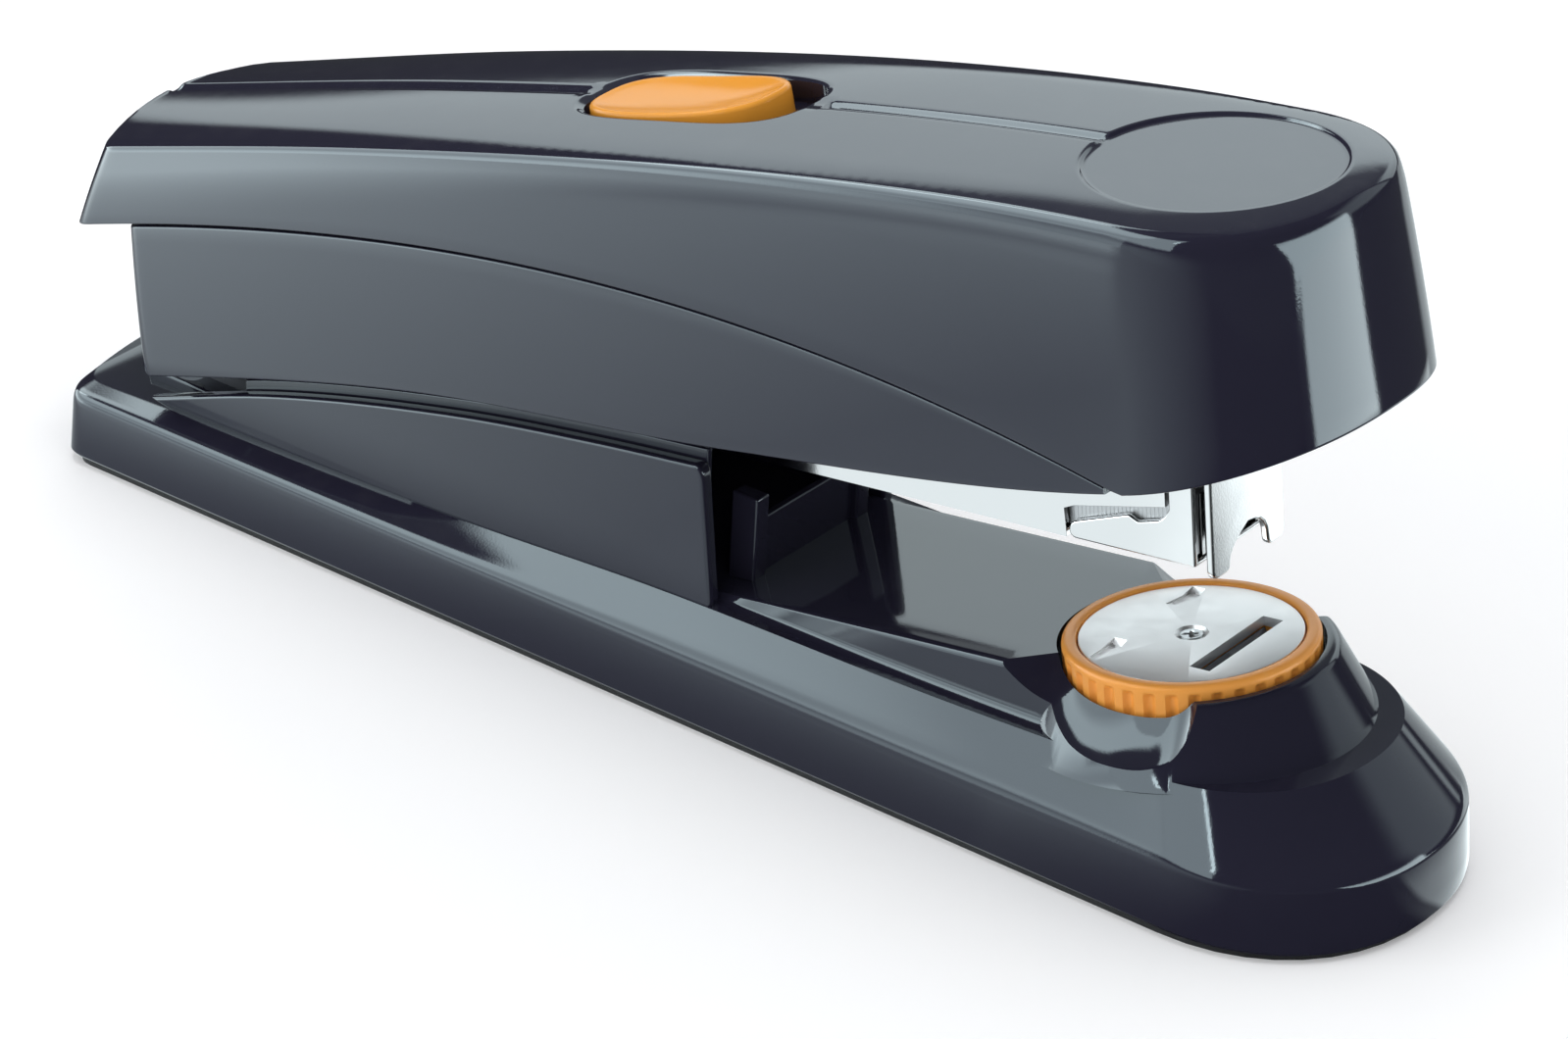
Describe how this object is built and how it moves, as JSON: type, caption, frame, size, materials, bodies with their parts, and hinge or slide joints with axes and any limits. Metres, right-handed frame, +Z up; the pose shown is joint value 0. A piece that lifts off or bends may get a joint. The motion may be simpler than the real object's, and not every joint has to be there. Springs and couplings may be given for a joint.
{
  "type": "stapler",
  "caption": "Desk stapler with a long two-part handle, sliding top release, pull-out staple magazine and a turning round anvil with a lobed rim on a low wedge base",
  "frame": {"origin": "on the desk, straight under the middle of the anvil plate, which is on the sole's underside", "axes": "+X points along the stapler to its nose, +Y to its left side, +Z up"},
  "size_m": [0.1916, 0.046, 0.0847],
  "materials": {
    "shell_black": "polished anthracite black",
    "inner_black": "satin moulded",
    "orange": "satin orange",
    "chrome": "bright plated",
    "steel": "zinc plated",
    "rubber": "matte"
  },
  "bodies": {
    "base": {"base_shell": "shell_black", "bottom_plate": "steel", "rubber_sole": "rubber", "bottom_screw_1": "steel", "bottom_screw_2": "steel", "bottom_screw_3": "steel", "bottom_screw_4": "steel", "hinge_bracket": "steel", "bracket_screw_1": "steel", "bracket_screw_2": "steel", "pivot_pin": "steel", "arm_lift_spring": "steel"},
    "anvil_turntable": {"anvil_wheel": "orange", "anvil_plate": "chrome", "anvil_screw": "steel", "anvil_retainer": "steel"},
    "clincher": {"clinch_block": "steel"},
    "magazine_arm": {"arm_frame": "steel", "magazine_channel": "chrome", "magazine_rivet_1": "steel", "magazine_rivet_2": "steel", "magazine_rivet_3": "steel", "magazine_rivet_4": "steel", "latch_pin": "steel", "handle_spring": "steel"},
    "handle": {"handle_cover": "shell_black", "handle_skirt": "shell_black"},
    "driver": {"driver_blade": "steel", "driver_carrier": "inner_black"},
    "staple_drawer": {"staple_rail": "chrome", "drawer_head": "chrome", "front_plate": "chrome", "staple_strip": "steel", "follower_rod": "steel", "follower_spring": "steel"},
    "staple_follower": {"follower": "inner_black"},
    "latch": {"drawer_latch": "inner_black"},
    "button": {"release_button": "orange", "release_slider": "inner_black"}
  },
  "joints": [
    {"name": "anvil_spin", "type": "hinge", "parent": "base", "child": "anvil_turntable", "pos_m": [0, 0, 0.02398], "axis": [-0.1569, 0, 0.9876], "continuous": true},
    {"name": "clinch_lift", "type": "slide", "parent": "anvil_turntable", "child": "clincher", "axis": [-0.1569, 0, 0.9876], "range_m": [0, 0.001]},
    {"name": "arm_hinge", "type": "hinge", "parent": "base", "child": "magazine_arm", "pos_m": [-0.136, 0, 0.021], "axis": [0, 1, 0], "range_deg": [0, 4.2], "stiffness_Nm_per_rad": 1.5, "springref_deg": -20.05, "deforming": ["arm_lift_spring"]},
    {"name": "handle_press", "type": "hinge", "parent": "magazine_arm", "child": "handle", "pos_m": [-0.136, 0, 0.021], "axis": [0, 1, 0], "range_deg": [0, 3.6], "stiffness_Nm_per_rad": 2, "springref_deg": -17.19, "deforming": ["handle_spring"]},
    {"name": "driver_slide", "type": "slide", "parent": "magazine_arm", "child": "driver", "axis": [0.1392, 0, -0.9903], "range_m": [0, 0.009]},
    {"name": "drawer_slide", "type": "slide", "parent": "magazine_arm", "child": "staple_drawer", "axis": [0.9903, 0, 0.1392], "range_m": [0, 0.096]},
    {"name": "follower_slide", "type": "slide", "parent": "staple_drawer", "child": "staple_follower", "axis": [0.9903, 0, 0.1392], "range_m": [-0.024, 0], "stiffness_N_per_m": 20, "springref_m": 0.06, "deforming": ["follower_spring"]},
    {"name": "button_slide", "type": "slide", "parent": "handle", "child": "button", "axis": [0.9636, 0, 0.2672], "range_m": [0, 0.0045], "stiffness_N_per_m": 200, "springref_m": -0.004},
    {"name": "latch_tilt", "type": "hinge", "parent": "magazine_arm", "child": "latch", "pos_m": [-0.07716, 0, 0.03917], "axis": [0, 1, 0], "range_deg": [0, 15]}
  ],
  "couplings": [
    {"joint": "driver_slide", "follows": "handle_press", "m_per_rad": 0.1418},
    {"joint": "clinch_lift", "follows": "handle_press", "m_per_rad": 0.0158},
    {"joint": "latch_tilt", "follows": "button_slide", "rad_per_m": 58}
  ]
}
